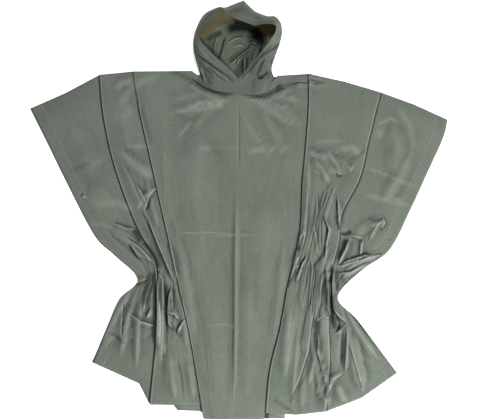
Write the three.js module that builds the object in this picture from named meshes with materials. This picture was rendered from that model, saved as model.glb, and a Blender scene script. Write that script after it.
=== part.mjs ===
// A hooded rain poncho of vinyl film, laid flat on its back with its sides gathered in at the waist.
// Millimetres. +X is the viewer's right, +Y runs to the hood, +Z is up from the surface it lies on.
import * as THREE from "three";

// Cloth and seams
const CLOTH = 1.2;
const SEAM = 0.3;
const FLOOR_GAP = 0.1;
const BODY_GAP = 0.6;

// Pleats: how far one pass lies above the next, and how far a raised panel runs before it is down
const PASS = 3.2;
const SETTLE = 90;

// Heights of the middle of the front's wall
const FRONT_LOW = CLOTH + BODY_GAP + CLOTH / 2;
const SHOULDER_LOW = CLOTH / 2 + FLOOR_GAP;
const SHOULDER_TURN = 0.025;
const NECK_LIFT = 6;
const NECK_ROWS = 0.8;
const NECK_SIDES = [-150, 125];
const NECK_EASE = 70;
const NECK_HOLD = 3;
const FOLD_START = 0.15;

// Columns of cloth between one named line and the next, and the rows in which a hem's step hangs
const COLUMNS = {
  arm: 3, outerL: 3, innerL: 7, neckL: 2, chestL: 2, centre: 2, chestR: 2, neckR: 2, innerR: 2,
  flank: 6, outerR: 6, armR: 3, sideR: 3,
};
const HANG_ROWS = 0.8;

// Sections across the front, shoulder to hem, with the place of each named line.
// steps: how many rows of cloth run from this section to the next.
const SECTIONS = [
  { row: "shoulder", steps: 3,
    side: [-626, 305], arm: [-519, 352], outerL: [-418, 406], innerL: [-318, 416],
    neckL: [-141, 418], chestL: [-81, 373], centre: [2, 358], chestR: [69, 356],
    neckR: [116, 403], innerR: [209, 409], flank: [318, 385], outerR: [426, 353],
    armR: [525, 317], sideR: [626, 271] },
  { row: "chest", steps: 3,
    side: [-573, 199], arm: [-486, 244], outerL: [-408, 292], innerL: [-298, 295],
    neckL: [-145, 295], chestL: [-72, 271], centre: [1, 259], chestR: [69, 265],
    neckR: [129, 295], innerR: [209, 313], flank: [306, 292], outerR: [411, 296],
    armR: [503, 248], sideR: [612, 215] },
  { row: "ribs", steps: 3,
    side: [-519, 88], arm: [-441, 127], outerL: [-381, 160], innerL: [-268, 163],
    neckL: [-141, 163], chestL: [-70, 154], centre: [0, 148], chestR: [69, 154],
    neckR: [134, 175], innerR: [200, 187], flank: [291, 193], outerR: [389, 205],
    armR: [465, 152], sideR: [564, 109] },
  { row: "elbow", steps: 3,
    side: [-433, -76], arm: [-387, -8], outerL: [-340, 35], innerL: [-241, 41],
    neckL: [-133, 43], chestL: [-69, 38], centre: [-2, 35], chestR: [69, 43],
    neckR: [129, 64], innerR: [190, 76], flank: [273, 91], outerR: [363, 97],
    armR: [426, 41], sideR: [515, 2] },
  { row: "upper", steps: 4,
    side: [-375, -134], arm: [-331, -89], outerL: [-298, -65], innerL: [-219, -56],
    neckL: [-123, -62], chestL: [-66, -65], centre: [-4, -68], chestR: [66, -65],
    neckR: [120, -50], innerR: [184, -56], flank: [249, -17], outerR: [312, -5],
    armR: [379, -65], sideR: [452, -119] },
  { row: "waist", steps: 4,
    side: [-304, -207], arm: [-273, -179], outerL: [-246, -158], innerL: [-195, -164],
    neckL: [-112, -173], chestL: [-63, -175], centre: [-4, -176], chestR: [59, -170],
    neckR: [105, -155], innerR: [164, -155], flank: [222, -125], outerR: [299, -98],
    armR: [339, -140], sideR: [372, -178] },
  { row: "below", steps: 4,
    side: [-358, -266], arm: [-297, -260], outerL: [-246, -248], innerL: [-175, -254],
    neckL: [-102, -269], chestL: [-58, -271], centre: [-5, -272], chestR: [51, -263],
    neckR: [92, -248], innerR: [143, -242], flank: [204, -221], outerR: [272, -209],
    armR: [287, -230], sideR: [297, -260] },
  { row: "hip", steps: 3,
    side: [-394, -346], arm: [-318, -353], outerL: [-246, -347], innerL: [-154, -344],
    neckL: [-91, -368], chestL: [-54, -370], centre: [-6, -371], chestR: [42, -365],
    neckR: [81, -356], innerR: [124, -350], flank: [189, -344], outerR: [270, -335],
    armR: [312, -335], sideR: [356, -329] },
  { row: "thigh", steps: 4,
    side: [-424, -418], arm: [-324, -440], outerL: [-255, -455], innerL: [-133, -458],
    neckL: [-81, -494], chestL: [-49, -496], centre: [-6, -497], chestR: [36, -494],
    neckR: [69, -488], innerR: [93, -479], flank: [180, -479], outerR: [273, -467],
    armR: [342, -455], sideR: [419, -413] },
  { row: "hem",
    side: [-441, -456], arm: [-299, -520], outerL: [-268, -583], innerL: [-106, -626],
    neckL: [-69, -627], chestL: [-42, -627], centre: [-6, -627], chestR: [30, -627],
    neckR: [66, -627], innerR: [80, -607], flank: [171, -614], outerR: [262, -604],
    armR: [369, -563], sideR: [475, -488] },
];

// Pleats. under: the side to which the hidden fold runs. depth: its reach at each section.
// step: how much lower the covering panel's hem hangs than the hem it covers.
const PLEATS = {
  outerL: { under: 1, step: 2, depth: [9, 12, 16, 20, 22, 20, 24, 32, 42, 52] },
  innerL: { under: 1, step: 40, depth: [9, 12, 18, 24, 26, 24, 28, 32, 32, 26] },
  innerR: { under: 1, step: -18, depth: [9, 12, 18, 22, 24, 24, 28, 36, 46, 58] },
  outerR: { under: -1, step: 0, depth: [9, 12, 16, 20, 22, 20, 24, 30, 36, 44] },
};

// Main folds and gathers: a soft ridge along each path, half its width and its height
const FOLDS = [
  { fold: "rise_left", half: 16, high: 9, path: [[-399, -41], [-338, -84], [-254, -158]] },
  { fold: "tube_left", half: 16, high: 14,
    path: [[-249, -143], [-237, -269], [-238, -359], [-246, -521]] },
  { fold: "tube_inner_left", half: 14, high: 10,
    path: [[-222, -173], [-207, -224], [-204, -302], [-192, -389]] },
  { fold: "flange_left", half: 12, high: 7, path: [[-267, -53], [-234, -119], [-189, -224]] },
  { fold: "lens_left", half: 14, high: 9,
    path: [[-249, -167], [-276, -218], [-286, -269], [-283, -335]] },
  { fold: "swell_left", half: 34, high: 8, path: [[-447, 91], [-381, -35], [-321, -137]] },
  { fold: "cross_left", half: 18, high: 6, path: [[-399, -353], [-339, -371], [-246, -359]] },
  { fold: "flap_left", half: 20, high: 7, path: [[-324, -221], [-375, -311], [-408, -425]] },
  { fold: "slope_left", half: 20, high: 6, path: [[-375, 181], [-312, 136], [-249, 91]] },
  { fold: "pull_left", half: 26, high: 5, path: [[-33, 330], [-102, 315], [-183, 289]] },
  { fold: "pull_right", half: 26, high: 5, path: [[39, 326], [111, 305], [183, 265]] },
  { fold: "bulge_right", half: 28, high: 9, path: [[201, 127], [273, 139], [339, 115]] },
  { fold: "sweep_right", half: 18, high: 12,
    path: [[303, 100], [271, 52], [243, -35], [246, -119], [267, -179]] },
  { fold: "rise_right", half: 15, high: 11, path: [[357, -59], [321, -119], [282, -179]] },
  { fold: "rise_outer_right", half: 15, high: 9, path: [[399, -89], [360, -137], [300, -185]] },
  { fold: "hook_right", half: 17, high: 8, path: [[447, -20], [390, -47], [333, -77]] },
  { fold: "tube_right", half: 16, high: 13,
    path: [[264, -161], [263, -269], [255, -362], [273, -509]] },
  { fold: "tube_outer_right", half: 16, high: 12,
    path: [[288, -167], [290, -269], [321, -347], [336, -419]] },
  { fold: "fan_right", half: 16, high: 9, path: [[237, -215], [216, -320], [192, -449]] },
  { fold: "long_right", half: 18, high: 8,
    path: [[237, -335], [231, -419], [246, -500], [260, -596]] },
  { fold: "fan_inner_right", half: 16, high: 8, path: [[210, -113], [201, -209], [186, -305]] },
  { fold: "flap_right", half: 20, high: 7, path: [[333, -347], [348, -425], [375, -551]] },
  { fold: "shoulder_roll", half: 16, high: 5, path: [[147, 380], [210, 388], [279, 372]] },];

// The hood's meridians from throat to crown on the left and from crown to throat on the right. Columns
// run from the neck seam to the face opening: neck, low, widest, high, rim, each [x, y, height of the
// wall's middle]. A neck place without a height rests on the front.
const HOOD_LEFT = [
  [[0, 349], [0, 361, 12], [0, 373, 14], [-1, 382, 16], [-1, 393, 18]],
  [[-39, 353], [-39, 367, 13], [-39, 385, 18], [-36, 406, 21], [-30, 425, 22]],
  [[-78, 363], [-84, 379, 14], [-84, 403, 22], [-75, 433, 28], [-60, 450, 30]],
  [[-103, 381, 10], [-112, 402, 14], [-117, 432, 24], [-107, 463, 36], [-89, 477, 40]],
  [[-116, 400, 9], [-119, 427, 9], [-135, 475, 22], [-128, 497, 40], [-115, 508, 50]],
  [[-93, 393, 3.6], [-104, 470, 0.8], [-133, 514, 22], [-128, 535, 46], [-119, 537, 58]],
  [[-62, 392, 3.6], [-88, 500, 0.8], [-118, 557, 24], [-111, 568, 52], [-101, 561, 66]],
  [[-46, 391, 3.6], [-70, 520, 0.8], [-98, 583, 25], [-93, 589, 55], [-77, 584, 72]],
  [[-30, 391, 3.6], [-48, 535, 0.8], [-66, 597, 26], [-61, 606, 60], [-54, 605, 77]],
  [[-18, 390, 3.6], [-32, 541, 0.8], [-40, 602, 26], [-36, 601, 64], [-34, 589, 82]],
  [[-8, 389, 3.6], [-14, 546, 0.8], [-14, 614, 26], [-12, 602, 68], [-12, 572, 84]],
  [[10, 388, 3.6], [12, 550, 0.8], [14, 625, 26], [14, 604, 70], [16, 561, 84]],
];
const HOOD_RIGHT = [
  [[10, 388, 3.6], [12, 550, 0.8], [14, 625, 26], [14, 604, 70], [16, 561, 84]],
  [[28, 390, 3.6], [30, 545, 0.8], [34, 605, 25], [32, 594, 68], [33, 555, 84]],
  [[42, 391, 3.6], [45, 538, 0.8], [52, 590, 23], [49, 584, 62], [50, 551, 82]],
  [[68, 393, 3.6], [64, 524, 0.8], [84, 577, 23], [82, 575, 56], [76, 556, 78]],
  [[80, 394, 3.6], [74, 508, 0.8], [106, 575, 23], [105, 573, 52], [100, 555, 73]],
  [[88, 395, 3.6], [80, 490, 0.8], [121, 558, 23], [120, 557, 46], [111, 548, 67]],
  [[97, 398, 5], [90, 464, 2], [127, 537, 22], [122, 536, 44], [108, 531, 60]],
  [[104, 402, 6], [99, 432, 8], [126, 512, 22], [119, 513, 42], [99, 516, 52]],
  [[101, 392, 10], [94, 428, 14], [108, 464, 24], [98, 484, 38], [83, 494, 44]],
  [[75, 351], [78, 371, 15], [80, 412, 24], [69, 451, 30], [56, 461, 32]],
  [[38, 347], [37, 364, 13], [39, 391, 18], [36, 415, 22], [29, 430, 23]],
  [[0, 349], [0, 361, 12], [0, 373, 14], [-1, 382, 16], [-1, 393, 18]],
];
const HOOD_LEVELS = 5;
const HOOD_UP = 10;
const HOOD_ROUND = 22;
const LAP_GAP = 1.2;

// The back's outline runs just inside the front's: its hem from left to right, its neckline from
// right to left
const BACK_INSET = 7;
const BACK_HEM = [
  [-366, -484], [-293, -507], [-258, -572], [-203, -576], [-191, -600], [-113, -603],
  [-98, -619], [72, -619], [82, -600], [171, -607], [262, -597], [366, -556],
];
const BACK_NECK = [[112, 394], [80, 399], [0, 396], [-90, 399], [-135, 408]];

// Press studs on the sleeves
const STUDS = [
  { name: "stud_left", at: [-463.5, 40], radius: 6, tall: 2.6 },
  { name: "stud_right", at: [455.4, -93.5], radius: 4, tall: 2.2 },
];
// Half a stud's section, in shares of its radius and of its height
const STUD_SECTION = [[0, 0], [1, 0], [1, 0.5], [0.85, 1], [0.6, 1], [0.45, 0.65], [0, 0.65]];
const STUD_SIDES = 24;
const STUD_LEVEL_POINTS = 8;

const FILM = new THREE.MeshStandardMaterial({ color: 0x767e74, roughness: 0.42, metalness: 0 });
const HOOD_FILM = new THREE.MeshStandardMaterial({ color: 0x5f6b60, roughness: 0.42, metalness: 0 });
const STUD_METAL = new THREE.MeshStandardMaterial({ color: 0x8c8f8a, roughness: 0.35, metalness: 0.8 });

const mix = (a, b, t) => a + (b - a) * t;
const smooth = (t) => {
  const s = Math.min(1, Math.max(0, t));
  return s * s * (3 - 2 * s);
};

// A smooth curve through values that stand at equal steps
function through(values, t) {
  const last = values.length - 1;
  const i = Math.max(0, Math.min(last - 1, Math.floor(t)));
  const [a, b, c, d] = [-1, 0, 1, 2].map((k) => values[Math.min(last, Math.max(0, i + k))]);
  const s = t - i;
  const start = (c - a) / 2;
  const end = (d - b) / 2;
  return b + s * (start + s * (3 * (c - b) - 2 * start - end + s * (2 * (b - c) + start + end)));
}

// How near a place is to a fold's path, and its share of the way along it
function alongPath(path, x, y) {
  const lengths = path.slice(1).map(([px, py], i) => Math.hypot(px - path[i][0], py - path[i][1]));
  const whole = lengths.reduce((sum, length) => sum + length, 0);
  let best = { gap: Infinity, share: 0 };
  let before = 0;
  lengths.forEach((length, i) => {
    const [ax, ay] = path[i];
    const [bx, by] = path[i + 1];
    const t = ((x - ax) * (bx - ax) + (y - ay) * (by - ay)) / (length * length);
    const s = Math.min(1, Math.max(0, t));
    const gap = Math.hypot(x - mix(ax, bx, s), y - mix(ay, by, s));
    if (gap < best.gap) best = { gap, share: (before + s * length) / whole };
    before += length;
  });
  return best;
}

// Height that the folds give a place; crests blend where they meet
function foldHeight(x, y) {
  let cubes = 0;
  for (const { path, half, high } of FOLDS) {
    const { gap, share } = alongPath(path, x, y);
    const across = Math.max(0, 1 - (gap / half) ** 2 / 2) ** 2;
    const ends = smooth(4 * share) * smooth(4 * (1 - share));
    cubes += (high * across * ends) ** 3;
  }
  return Math.cbrt(cubes);
}

// The panels of the front between pleats, by the lines that they cross, and the pleats that raise each
const PANELS = [
  { lines: ["side", "arm", "outerL"], raisedBy: [] },
  { lines: ["outerL", "innerL"], raisedBy: ["outerL"] },
  {
    lines: ["innerL", "neckL", "chestL", "centre", "chestR", "neckR", "innerR"],
    raisedBy: ["outerL", "innerL"],
  },
  { lines: ["innerR", "flank", "outerR"], raisedBy: ["outerL", "innerL", "innerR", "outerR"] },
  { lines: ["outerR", "armR", "sideR"], raisedBy: ["outerL", "innerL", "innerR"] },
];
const LAST = SECTIONS.length - 1;

// Where a named line crosses the row at v, 0 at the shoulder and LAST at the hem
function lineAt(line, v) {
  return [0, 1].map((axis) => through(SECTIONS.map((section) => section[line][axis]), v));
}

// One row of the front: places of the wall's middle from the left side edge to the right one
function frontRow(v) {
  const hang = smooth((v - LAST + HANG_ROWS) / HANG_ROWS);
  const turned = smooth(v / SHOULDER_TURN);
  const pleats = {};
  for (const [line, { under, step, depth }] of Object.entries(PLEATS)) {
    pleats[line] = { x: lineAt(line, v)[0], under, step: step * hang, depth: through(depth, v) };
  }
  const panels = PANELS.map(({ lines, raisedBy }) => {
    const stops = lines.map((line) => lineAt(line, v));
    const end = pleats[lines.at(-1)];
    if (end && end.under > 0) stops.at(-1)[1] += end.step;
    return { lines, raisedBy, stops };
  });
  const points = [];

  const yOn = ({ stops }, x) => {
    const i = Math.max(1, stops.findIndex((stop) => stop[0] >= x));
    const [a, b] = x > stops.at(-1)[0] ? [stops.at(-1), stops.at(-1)] : [stops[i - 1], stops[i]];
    return x <= a[0] || a === b ? a[1] : mix(a[1], b[1], (x - a[0]) / (b[0] - a[0]));
  };
  const rise = (line, x) => {
    const { under, depth } = pleats[line];
    return 2 * PASS * (1 - smooth((under * (x - pleats[line].x) - depth) / SETTLE));
  };
  // Adds a place on a panel; cover is the panel that a hidden pass turns towards, as far as share
  const put = (panel, x, level = 0, cover = panel, share = 0) => {
    const y = mix(yOn(panel, x), yOn(cover, x), share);
    const neck = smooth((x - NECK_SIDES[0]) / NECK_EASE) * smooth((NECK_SIDES[1] - x) / NECK_EASE);
    const low = mix(SHOULDER_LOW, FRONT_LOW, Math.max(turned, smooth(NECK_HOLD * neck)));
    const collar = NECK_LIFT * neck * smooth(1 - v / NECK_ROWS);
    const folds = foldHeight(x, y) * smooth(v / FOLD_START);
    const raised = panel.raisedBy.reduce((sum, line) => sum + rise(line, x), 0);
    points.push([x, y, low + collar + folds + raised + level]);
  };
  // The hidden passes of a pleat, from its deep turn's side to its edge or the other way
  const pleat = (line, lower, upper) => {
    const { x, under, depth } = pleats[line];
    const turn = PASS / 2;
    const at = (d) => x + under * d;
    const passes = [
      () => put(lower, at(0)),
      () => put(lower, at(depth / 2)),
      () => put(lower, at(depth - turn)),
      () => put(lower, at(depth), turn),
      ...[depth - turn, depth / 2, turn].map((d) => () => put(lower, at(d), PASS, upper, 1 - d / depth)),
      () => put(lower, at(0), PASS + turn, upper, 1),
      () => put(upper, at(turn)),
      () => put(upper, at(depth / 2)),
    ];
    if (under < 0) passes.reverse();
    passes.forEach((pass) => pass());
  };

  panels.forEach((panel, i) => {
    const first = pleats[panel.lines[0]];
    const last = pleats[panel.lines.at(-1)];
    const start = panel.stops[0][0] + (first && first.under > 0 ? first.depth : 0);
    const finish = panel.stops.at(-1)[0] - (last && last.under < 0 ? last.depth : 0);
    put(panel, start);
    for (let k = 1; k < panel.stops.length; k++) {
      const from = k === 1 ? start : panel.stops[k - 1][0];
      const to = k === panel.stops.length - 1 ? finish : panel.stops[k][0];
      const columns = COLUMNS[panel.lines[k]];
      for (let c = 1; c <= columns; c++) put(panel, mix(from, to, c / columns));
    }
    if (!last) return;
    // The run's end is the pleat's own first place on the lower panel
    if (last.under > 0) points.pop();
    const next = panels[i + 1];
    pleat(panel.lines.at(-1), last.under > 0 ? panel : next, last.under > 0 ? next : panel);
    if (last.under < 0) points.pop();
  });
  return points;
}

function frontGrid() {
  const rows = [frontRow(0), frontRow(SHOULDER_TURN)];
  SECTIONS.slice(0, LAST).forEach(({ steps }, i) => {
    for (let k = i === 0 ? 1 : 0; k < steps; k++) rows.push(frontRow(i + k / steps));
  });
  rows.push(frontRow(LAST));
  return rows;
}

// A wall of cloth about a grid of places. seams names the end columns whose edge stays in its plane of X.
function wall(grid, seams = []) {
  const rows = grid.length;
  const columns = grid[0].length;
  const at = (i, j) => new THREE.Vector3(...grid[i][j]);
  const positions = [];
  const normals = grid.map((row, i) =>
    row.map((_, j) => {
      const across = at(i, Math.min(columns - 1, j + 1)).sub(at(i, Math.max(0, j - 1)));
      const down = at(Math.min(rows - 1, i + 1), j).sub(at(Math.max(0, i - 1), j));
      const normal = down.cross(across);
      if (seams.includes(j)) normal.x = 0;
      return normal.normalize();
    }),
  );
  for (const side of [0.5, -0.5]) {
    grid.forEach((row, i) =>
      row.forEach((_, j) => positions.push(...at(i, j).addScaledVector(normals[i][j], side * CLOTH))),
    );
  }
  const vertex = (i, j, inner) => inner * rows * columns + i * columns + j;
  const faces = [];
  const quad = (a, b, c, d) => faces.push(a, b, c, a, c, d);
  for (let i = 0; i < rows - 1; i++) {
    for (let j = 0; j < columns - 1; j++) {
      quad(vertex(i, j, 0), vertex(i + 1, j, 0), vertex(i + 1, j + 1, 0), vertex(i, j + 1, 0));
      quad(vertex(i, j, 1), vertex(i, j + 1, 1), vertex(i + 1, j + 1, 1), vertex(i + 1, j, 1));
    }
  }
  for (let j = 0; j < columns - 1; j++) {
    quad(vertex(0, j, 0), vertex(0, j + 1, 0), vertex(0, j + 1, 1), vertex(0, j, 1));
    const end = rows - 1;
    quad(vertex(end, j, 1), vertex(end, j + 1, 1), vertex(end, j + 1, 0), vertex(end, j, 0));
  }
  for (let i = 0; i < rows - 1; i++) {
    quad(vertex(i, 0, 1), vertex(i + 1, 0, 1), vertex(i + 1, 0, 0), vertex(i, 0, 0));
    const end = columns - 1;
    quad(vertex(i, end, 0), vertex(i + 1, end, 0), vertex(i + 1, end, 1), vertex(i, end, 1));
  }
  const geometry = new THREE.BufferGeometry();
  geometry.setAttribute("position", new THREE.Float32BufferAttribute(positions, 3));
  geometry.setIndex(volumeOf(positions, faces) < 0 ? faces.reverse() : faces);
  geometry.computeVertexNormals();
  return geometry;
}

function volumeOf(positions, faces) {
  let volume = 0;
  const corner = (i) => new THREE.Vector3().fromArray(positions, 3 * faces[i]);
  for (let i = 0; i < faces.length; i += 3) volume += corner(i).dot(corner(i + 1).cross(corner(i + 2)));
  return volume / 6;
}

// The highest point of a geometry over a place
function topAt(geometry, x, y) {
  const { position } = geometry.attributes;
  const { index } = geometry;
  const triangle = new THREE.Triangle();
  const over = new THREE.Vector3();
  let top = -Infinity;
  for (let i = 0; i < index.count; i += 3) {
    triangle.setFromAttributeAndIndices(position, index.getX(i), index.getX(i + 1), index.getX(i + 2));
    const { a, b, c } = triangle;
    const area = (b.x - a.x) * (c.y - a.y) - (c.x - a.x) * (b.y - a.y);
    if (Math.abs(area) < 1e-9) continue;
    over.y = ((x - a.x) * (c.y - a.y) - (c.x - a.x) * (y - a.y)) / area;
    over.z = ((b.x - a.x) * (y - a.y) - (x - a.x) * (b.y - a.y)) / area;
    over.x = 1 - over.y - over.z;
    if (Math.min(over.x, over.y, over.z) < 0) continue;
    top = Math.max(top, over.x * a.z + over.y * b.z + over.z * c.z);
  }
  return top;
}

// A hood half through its meridians, its seam edges half a seam from the middle
function hoodGrid(meridians, side, front) {
  const placed = meridians.map((meridian) =>
    meridian.map(([x, y, z]) => [x, y, z ?? topAt(front, x, y) + LAP_GAP + CLOTH / 2]),
  );
  const grid = [];
  for (let i = 0; i <= HOOD_UP; i++) {
    const row = [];
    for (let j = 0; j <= HOOD_ROUND; j++) {
      const up = (i / HOOD_UP) * (HOOD_LEVELS - 1);
      const round = (j / HOOD_ROUND) * (meridians.length - 1);
      const place = [0, 1, 2].map((axis) =>
        through(placed.map((levels) => through(levels.map((p) => p[axis]), up)), round),
      );
      if (j === 0 || j === HOOD_ROUND) place[0] += (side * SEAM) / 2;
      place[2] = Math.max(place[2], SHOULDER_LOW);
      row.push(place);
    }
    grid.push(row);
  }
  return grid;
}

// The back: one flat sheet on the surface, its outline inside the front's
function backGeometry() {
  const outline = [];
  for (let v = 0; v <= LAST; v += 0.5) {
    const [x, y] = lineAt("side", v);
    outline.push([x + BACK_INSET, y - (v === 0 ? BACK_INSET : 0)]);
  }
  outline.push(...BACK_HEM);
  for (let v = LAST; v >= 0; v -= 0.5) {
    const [x, y] = lineAt("sideR", v);
    outline.push([x - BACK_INSET, y - (v === 0 ? BACK_INSET : 0)]);
  }
  const shoulder = (lines) => lines.forEach((line) => {
    const [x, y] = lineAt(line, 0);
    outline.push([x, y - BACK_INSET]);
  });
  shoulder(["armR", "outerR", "flank", "innerR"]);
  outline.push(...BACK_NECK);
  shoulder(["innerL", "outerL", "arm"]);
  const shape = new THREE.Shape(outline.map(([x, y]) => new THREE.Vector2(x, y)));
  return new THREE.ExtrudeGeometry(shape, { depth: CLOTH, bevelEnabled: false });
}

// A press stud: a low cap with a sunk middle and a raised ring
function studGeometry(radius, tall) {
  const section = STUD_SECTION.map(([r, h]) => new THREE.Vector2(r * radius, h * tall));
  const lathe = new THREE.LatheGeometry(section, STUD_SIDES);
  return lathe.rotateX(Math.PI / 2);
}

const poncho = new THREE.Group();
function add(name, geometry, material) {
  const mesh = new THREE.Mesh(geometry, material);
  mesh.name = name;
  poncho.add(mesh);
  return mesh;
}

const front = wall(frontGrid());
add("front", front, FILM);
add("back", backGeometry(), FILM);
const seams = [0, HOOD_ROUND];
add("hood_left", wall(hoodGrid(HOOD_LEFT, -1, front), seams), HOOD_FILM);
add("hood_right", wall(hoodGrid(HOOD_RIGHT, 1, front), seams), HOOD_FILM);
for (const { name, at, radius, tall } of STUDS) {
  let seat = -Infinity;
  for (let k = 0; k < STUD_LEVEL_POINTS; k++) {
    const turn = (2 * Math.PI * k) / STUD_LEVEL_POINTS;
    seat = Math.max(seat, topAt(front, at[0] + radius * Math.cos(turn), at[1] + radius * Math.sin(turn)));
  }
  add(name, studGeometry(radius, tall), STUD_METAL).position.set(at[0], at[1], seat + SEAM);
}

export default poncho;
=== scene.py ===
import math

import bmesh
import bpy
import numpy as np
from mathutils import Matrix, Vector, noise


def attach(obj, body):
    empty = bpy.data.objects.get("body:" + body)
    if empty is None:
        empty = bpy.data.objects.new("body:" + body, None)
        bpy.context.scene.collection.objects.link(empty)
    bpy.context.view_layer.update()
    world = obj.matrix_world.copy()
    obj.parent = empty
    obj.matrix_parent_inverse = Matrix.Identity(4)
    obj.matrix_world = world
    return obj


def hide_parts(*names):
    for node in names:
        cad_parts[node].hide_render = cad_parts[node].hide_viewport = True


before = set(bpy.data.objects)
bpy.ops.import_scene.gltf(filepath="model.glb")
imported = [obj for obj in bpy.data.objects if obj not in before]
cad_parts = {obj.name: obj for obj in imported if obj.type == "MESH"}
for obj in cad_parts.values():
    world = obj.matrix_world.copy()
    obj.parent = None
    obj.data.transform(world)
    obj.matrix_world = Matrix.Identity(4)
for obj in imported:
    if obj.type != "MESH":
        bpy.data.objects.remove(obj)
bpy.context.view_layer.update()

# The camera looks straight down on the garment from far off, as the photograph does,
# with the hood at the top of the picture. The picture is 480 by 420 points.
MM = 0.001
PICTURE_WIDE = 480
POINT_MM = 3.0
PICTURE_MIDDLE = (240.0, 210.0)
GARMENT_MIDDLE = (238.9, 210.25)
CAMERA_HIGH = 12.0
SENSOR_MM = 36.0
camera = bpy.data.objects.new("camera", bpy.data.cameras.new("camera"))
bpy.context.scene.collection.objects.link(camera)
bpy.context.scene.camera = camera
camera.data.sensor_width = SENSOR_MM
camera.data.lens = SENSOR_MM * CAMERA_HIGH / (PICTURE_WIDE * POINT_MM * MM)
camera.location = (
    (PICTURE_MIDDLE[0] - GARMENT_MIDDLE[0]) * POINT_MM * MM,
    (GARMENT_MIDDLE[1] - PICTURE_MIDDLE[1]) * POINT_MM * MM,
    CAMERA_HIGH,
)
camera.data.clip_end = 50.0

# The vinyl film that all the cloth is made of: a soft grey-green skin with a fine embossed
# grain, a low uneven sheen, and faint cloudy changes of tone. Its folds and edges are drawn by painted shade
# and highlights in its tone: painted shade under and beside the pleat and fold edges, in the troughs and
# along the shaded paths, and painted highlights on the edges' rims, on the crests and along the sheen paths.
BODY_TONES = ((0.070, 0.086, 0.067, 1), (0.092, 0.108, 0.086, 1), (0.140, 0.158, 0.135, 1))
# Pale tone of the weld line, also used for the painted highlights on edge rims, crests and sheen paths.
FILM_HIGHLIGHT_AND_WELD = (0.27, 0.30, 0.26, 1)
FILM_SHADE = (0.004, 0.006, 0.004, 1)
GRAIN_PER_M = 900.0
SPECKLE_PER_M = 170.0
CRUMPLE_PER_M = 55.0
CLOUD_PER_M = 6.0
PACKED_PER_M = 11.0
DRAWN_PER_CUT = (70.0, 9.0, 1.0)
WELD_IN = 34 * MM
WELD_HALF = 0.9 * MM
PLEAT_LINE = 3.2 * MM
LINING_SPECULAR = 0.12
FILM_SPECULAR = 0.25
WELD_DEEP = 0.5 * MM
DRAWN_DEEP = 3.0 * MM
PACKED_DEEP = 4.5 * MM
CRUMPLE_DEEP = 2.0 * MM
GRAIN_DEEP = 0.14 * MM
WELD_SHARE = 0.25
# Share of the painted highlight on crests and sheen paths.
CREST_HIGHLIGHT_SHARE = 0.3
# Shares of the painted shadow under pleat and fold edges, the painted shade beside them and the painted
# highlight on their rims.
UNDER_SHADOW_SHARE = 0.7
BESIDE_SHADE_SHARE = 0.3
RIM_HIGHLIGHT_SHARE = 0.35


class Socket:
    """A value in a material, on which Python's arithmetic adds Math nodes."""

    def __init__(self, finish, out):
        self.finish = finish
        self.out = out

    def math(self, operation, first, second=None):
        values = {0: first} if second is None else {0: first, 1: second}
        return self.finish.node("ShaderNodeMath", {"operation": operation}, values)

    def __add__(self, other):
        return self.math("ADD", self, other)

    def __sub__(self, other):
        return self.math("SUBTRACT", self, other)

    def __rsub__(self, other):
        return self.math("SUBTRACT", other, self)

    def __mul__(self, other):
        return self.math("MULTIPLY", self, other)

    __radd__ = __add__
    __rmul__ = __mul__

    def absolute(self):
        return self.math("ABSOLUTE", self)

    def ramp(self, low, high):
        """0 below low, 1 above high, and smooth between."""
        values = {"Value": self, "From Min": low, "From Max": high}
        return self.finish.node("ShaderNodeMapRange", {"interpolation_type": "SMOOTHSTEP"}, values)


class Finish:
    """A material under construction. node() sets a node's settings first and its sockets after."""

    def __init__(self, name):
        self.material = bpy.data.materials.new(name)
        self.material.use_nodes = True
        self.tree = self.material.node_tree
        self.tree.nodes.clear()

    def node(self, kind, settings=None, values=None, out=0):
        made = self.tree.nodes.new(kind)
        for name, value in (settings or {}).items():
            setattr(made, name, value)
        for key, value in (values or {}).items():
            into = made.inputs[key] if isinstance(key, int) else self.find(made.inputs, key)
            if isinstance(value, Socket):
                self.tree.links.new(value.out, into)
            else:
                into.default_value = value
        return Socket(self, made.outputs[out] if isinstance(out, int) else self.find(made.outputs, out))

    @staticmethod
    def find(sockets, key):
        exact = [s for s in sockets if s.identifier == key]
        return exact[0] if exact else sockets[key]

    def blend(self, share, first, second):
        values = {"Factor_Float": share, "A_Color": first, "B_Color": second}
        return self.node("ShaderNodeMix", {"data_type": "RGBA"}, values, "Result_Color")

    def noise(self, place, scale, detail=2.0, roughness=0.5, kind="FBM"):
        values = {"Vector": place, "Scale": scale, "Detail": detail, "Roughness": roughness}
        return self.node("ShaderNodeTexNoise", {"noise_type": kind}, values, "Fac")

    def bump(self, height, distance, strength=1.0, under=None):
        values = {"Height": height, "Distance": distance, "Strength": strength}
        if under:
            values["Normal"] = under
        return self.node("ShaderNodeBump", {}, values, "Normal")

    def close(self, colour, roughness, normal, **plain):
        values = {"Base Color": colour, "Roughness": roughness, "Normal": normal}
        values.update({name.replace("_", " "): value for name, value in plain.items()})
        return self.end(self.node("ShaderNodeBsdfPrincipled", {}, values, "BSDF"))

    def end(self, skin):
        output = self.tree.nodes.new("ShaderNodeOutputMaterial")
        self.tree.links.new(skin.out, output.inputs["Surface"])
        return self.material


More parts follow.
